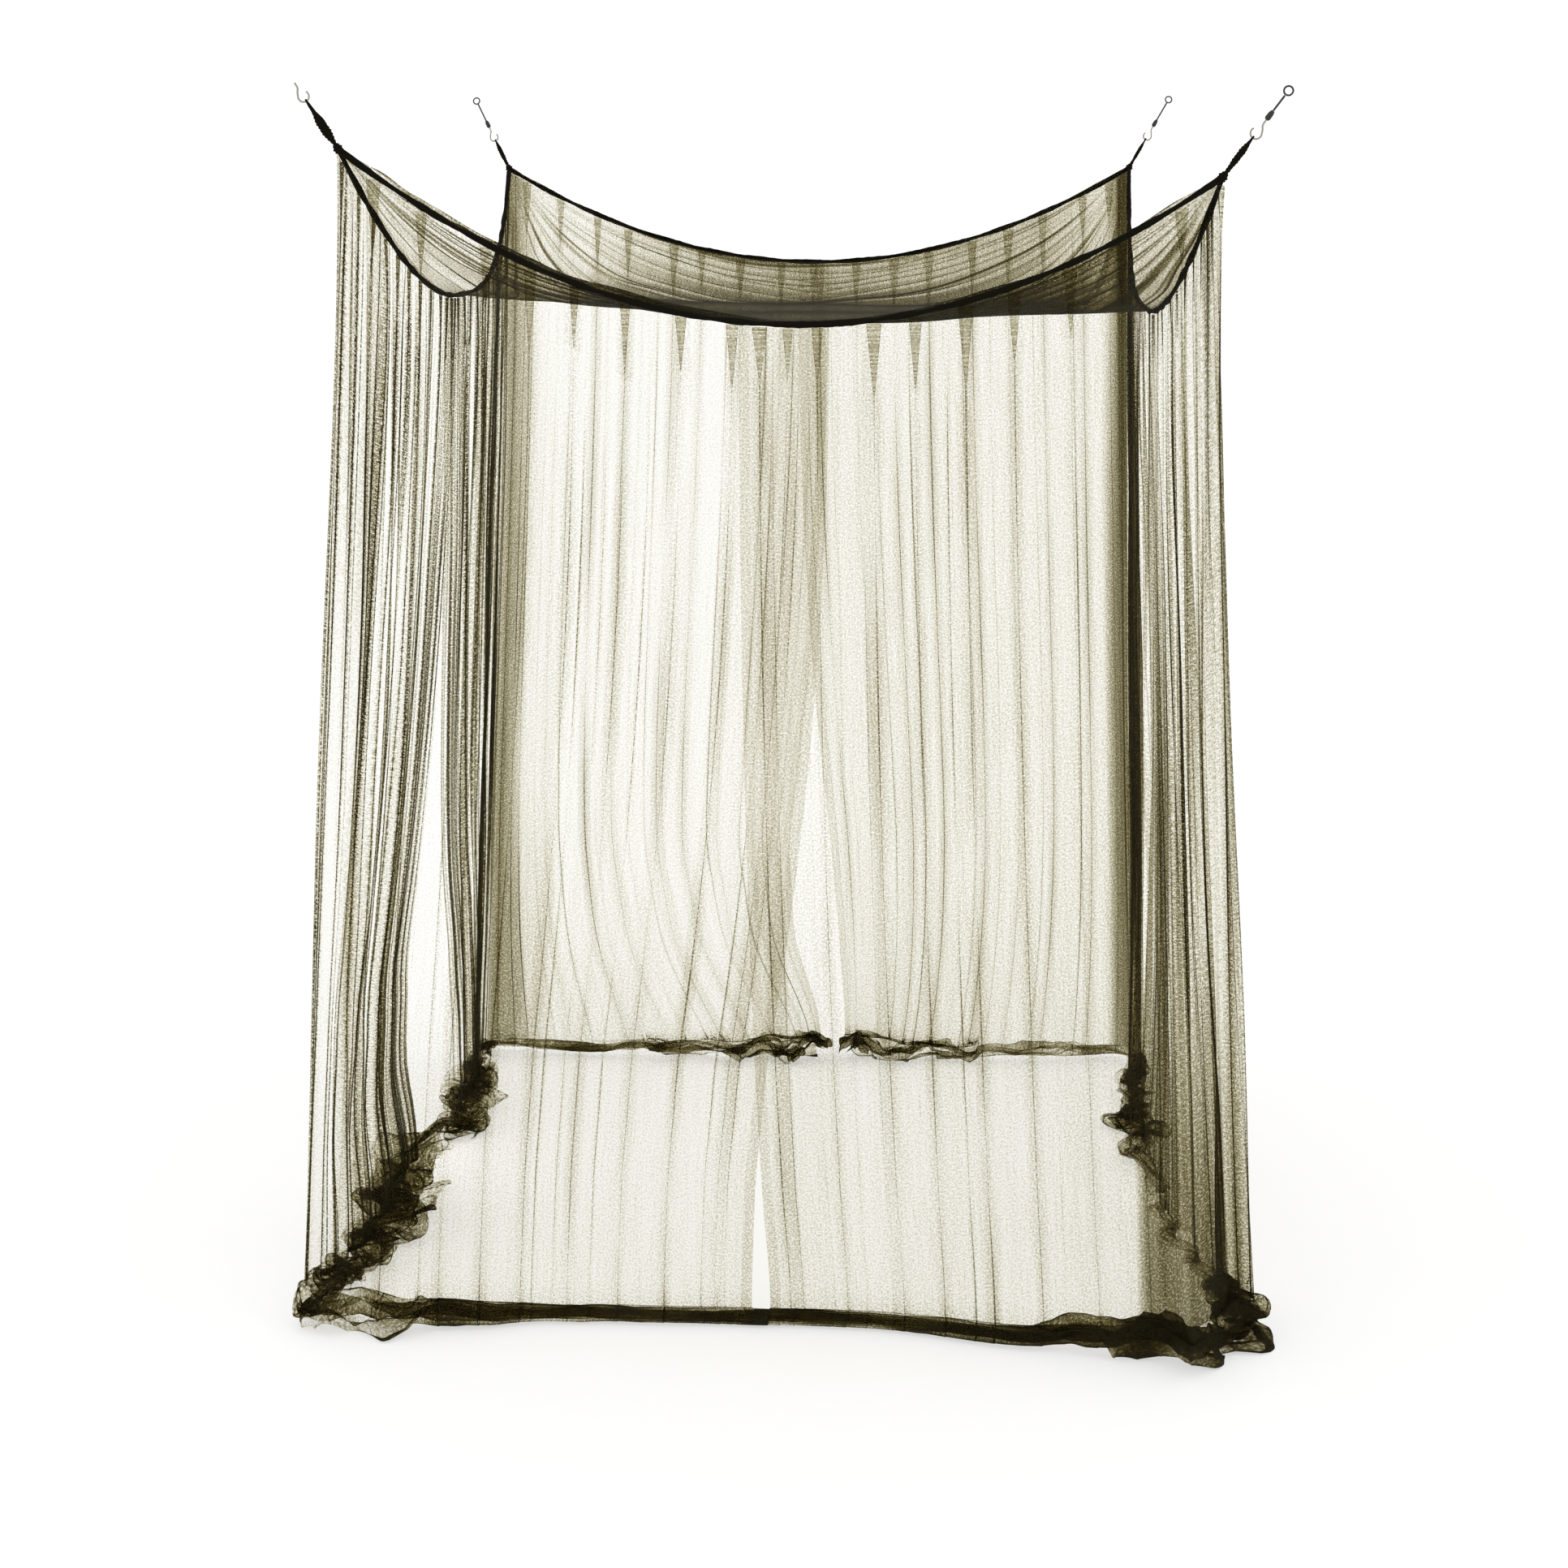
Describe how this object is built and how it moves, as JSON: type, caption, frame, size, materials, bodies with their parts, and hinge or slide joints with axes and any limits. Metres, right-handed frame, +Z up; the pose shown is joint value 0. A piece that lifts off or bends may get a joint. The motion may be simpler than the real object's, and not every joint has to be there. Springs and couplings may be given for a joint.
{
  "type": "four-corner mosquito net canopy and hooks",
  "caption": "Box-shaped mosquito net for a bed, hung by its corners: sagging bound ceiling, sheer curtains that lap at the sides and pile on the floor, ribbon ties, wire hooks and cords.",
  "frame": {"origin": "on the floor, under the middle of the canopy's outer box", "axes": "+Z up; +X to the right and -Y to the front, the side with the lowest bound edge"},
  "size_m": [1.9245, 2.2038, 2.6128],
  "materials": {
    "net": "dark olive-brown polyester mesh, very sheer",
    "binding_tape": "dark woven tape",
    "hook_wire": "bent steel wire, satin",
    "cord_black": "black braided cord and sleeve"
  },
  "bodies": {
    "root": {"ceiling_sheet": "net", "curtain_front_left": "net", "curtain_front_right": "net", "curtain_back_right": "net", "curtain_back_left": "net", "binding_front": "binding_tape", "binding_right": "binding_tape", "binding_back": "binding_tape", "binding_left": "binding_tape", "tie_front_left": "binding_tape", "tie_front_right": "binding_tape", "tie_back_right": "binding_tape", "tie_back_left": "binding_tape", "hook_front_left": "hook_wire", "hook_front_right": "hook_wire", "hook_back_right": "hook_wire", "hook_back_left": "hook_wire", "ferrule_front_right": "cord_black", "ferrule_back_right": "cord_black", "ferrule_back_left": "cord_black", "cord_front_right": "cord_black", "cord_back_right": "cord_black", "cord_back_left": "cord_black", "end_loop_front_right": "cord_black", "end_loop_back_right": "cord_black", "end_loop_back_left": "cord_black"}
  },
  "joints": []
}
